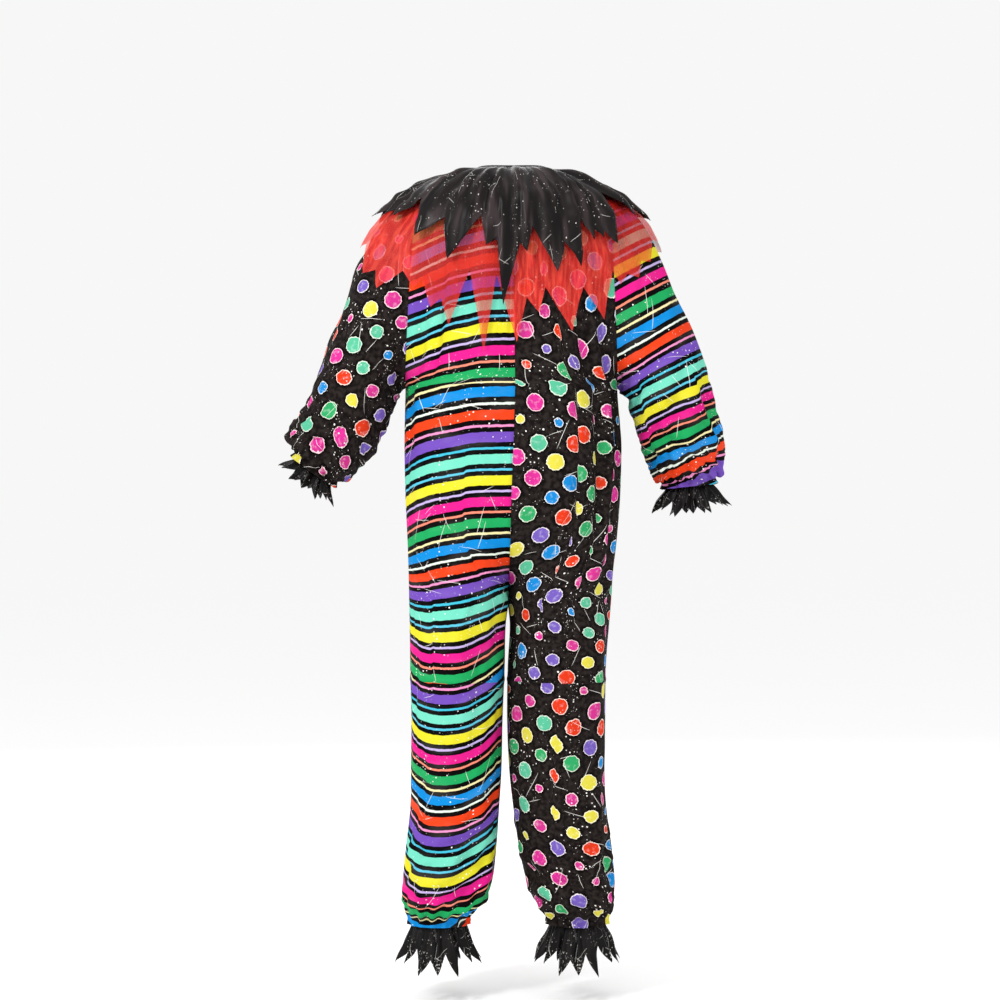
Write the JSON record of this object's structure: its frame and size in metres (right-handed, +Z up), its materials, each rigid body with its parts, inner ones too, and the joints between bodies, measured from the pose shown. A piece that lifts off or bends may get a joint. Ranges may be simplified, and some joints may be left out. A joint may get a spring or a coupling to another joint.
{
  "type": "clown costume jumpsuit",
  "caption": "Worn baggy one-piece clown suit, one half striped and one half dotted, with jagged satin and red mesh collars and pointed frills at gathered cuffs and hems.",
  "frame": {"origin": "the middle of the neckline at the height where the suit hangs on the wearer's shoulders", "axes": "+Z up the wearer's body, +X to the wearer's left, front facing -Y"},
  "size_m": [0.8692, 0.3187, 1.5112],
  "materials": {
    "stripes": "knit printed with bright stripes on black, spattered with white",
    "dots": "black knit printed with rough bright dots, spattered with white",
    "black_satin": "soft black satin with white spatter and cut points",
    "red_mesh": "sheer red mesh with cut points",
    "neck_binding": "matt black binding"
  },
  "bodies": {
    "root": {"back_left": "stripes", "leg_back_left": "stripes", "front_left": "stripes", "leg_front_left": "stripes", "back_right": "dots", "leg_back_right": "dots", "front_right": "dots", "leg_front_right": "dots", "sleeve_left": "dots", "sleeve_right": "stripes", "satin_collar": "black_satin", "cuff_frill_left": "black_satin", "cuff_frill_right": "black_satin", "hem_frill_left": "black_satin", "hem_frill_right": "black_satin", "mesh_collar": "red_mesh", "neckband": "neck_binding"}
  },
  "joints": []
}
